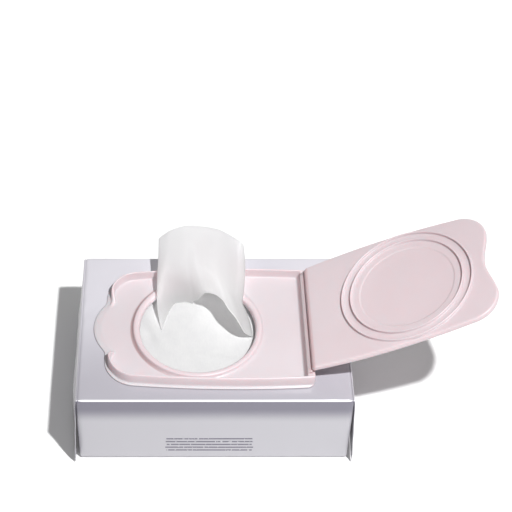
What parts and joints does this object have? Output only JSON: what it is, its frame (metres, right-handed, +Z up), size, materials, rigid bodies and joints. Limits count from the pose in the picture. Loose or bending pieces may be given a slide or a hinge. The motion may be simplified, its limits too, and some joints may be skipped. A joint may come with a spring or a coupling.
{
  "type": "wet_wipes_pack",
  "caption": "Resealable film pack of wet wipes with a moulded flip-top dispenser; the lid stands open and the next wipe is drawn up through the round mouth.",
  "frame": {"origin": "centre of the pouch's flat bottom face", "axes": "+Z up out of the dispenser, +X along the pack's long side towards the lid hinge, -Y towards the front of the pack"},
  "size_m": [0.2415, 0.118, 0.1156],
  "materials": {
    "film": "soft printed packaging film, pale lilac, satin gloss",
    "blush_plastic": "moulded polypropylene, pale blush pink, smooth satin",
    "wipes": "damp white non-woven fibre sheet"
  },
  "bodies": {
    "root": {"film_pouch": "film", "wipes_stack": "wipes", "pulled_wipe": "wipes", "dispenser_base": "blush_plastic"},
    "lid": {"flip_lid": "blush_plastic"}
  },
  "joints": [
    {"name": "lid_hinge", "type": "hinge", "parent": "root", "child": "lid", "pos_m": [0.054, -0.0029, 0.0623], "axis": [0, -1, 0], "range_deg": [-26, 154], "deforming": ["pulled_wipe"]}
  ]
}
